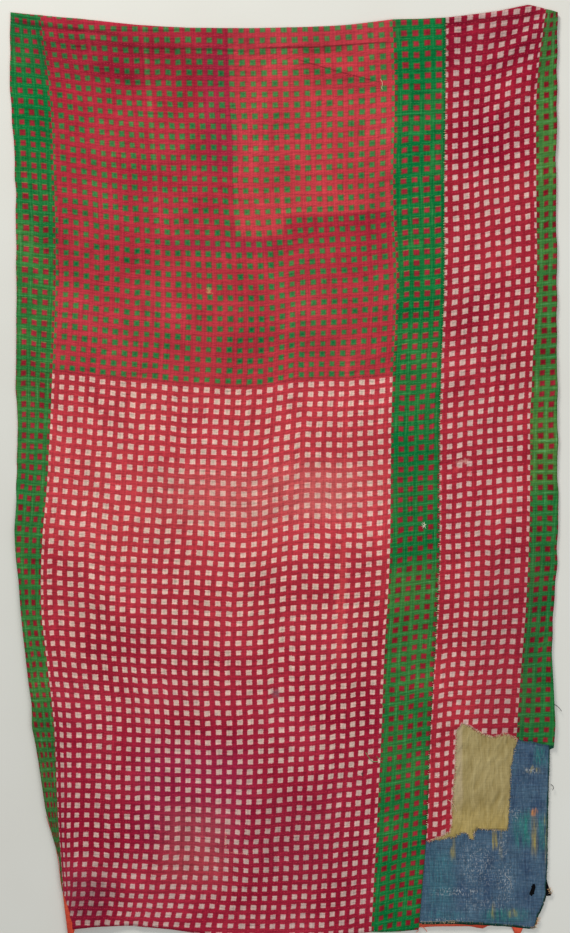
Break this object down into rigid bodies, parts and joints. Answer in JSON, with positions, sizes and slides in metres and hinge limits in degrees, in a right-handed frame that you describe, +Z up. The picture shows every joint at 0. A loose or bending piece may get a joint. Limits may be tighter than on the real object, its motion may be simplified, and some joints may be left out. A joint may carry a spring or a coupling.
{
  "type": "kantha quilt",
  "caption": "Worn patchwork throw of checked cotton laid out flat, with a turned-under lower left edge and a torn lower right corner that shows its inner layers",
  "frame": {"origin": "middle of the quilt's bounding box, at the height of the surface it lies on", "axes": "+Z up out of the face, +Y along the length toward the top hem, +X across to the right edge"},
  "size_m": [1.3028, 2.2174, 0.0166],
  "materials": {
    "backing": "plain-woven cotton, matt, orange-red, worn",
    "inner_blue": "thin cotton, matt, faded blue with teal and ochre",
    "inner_khaki": "thin cotton, matt, khaki with a paler strip",
    "top_main": "printed cotton, matt, red with green and cream checks, green borders, run-stitched",
    "top_side": "printed cotton, matt, crimson with cream checks and a green border, run-stitched"
  },
  "bodies": {
    "root": {"backing": "backing", "inner_blue": "inner_blue", "inner_khaki": "inner_khaki", "top_main": "top_main", "top_side": "top_side"}
  },
  "joints": []
}
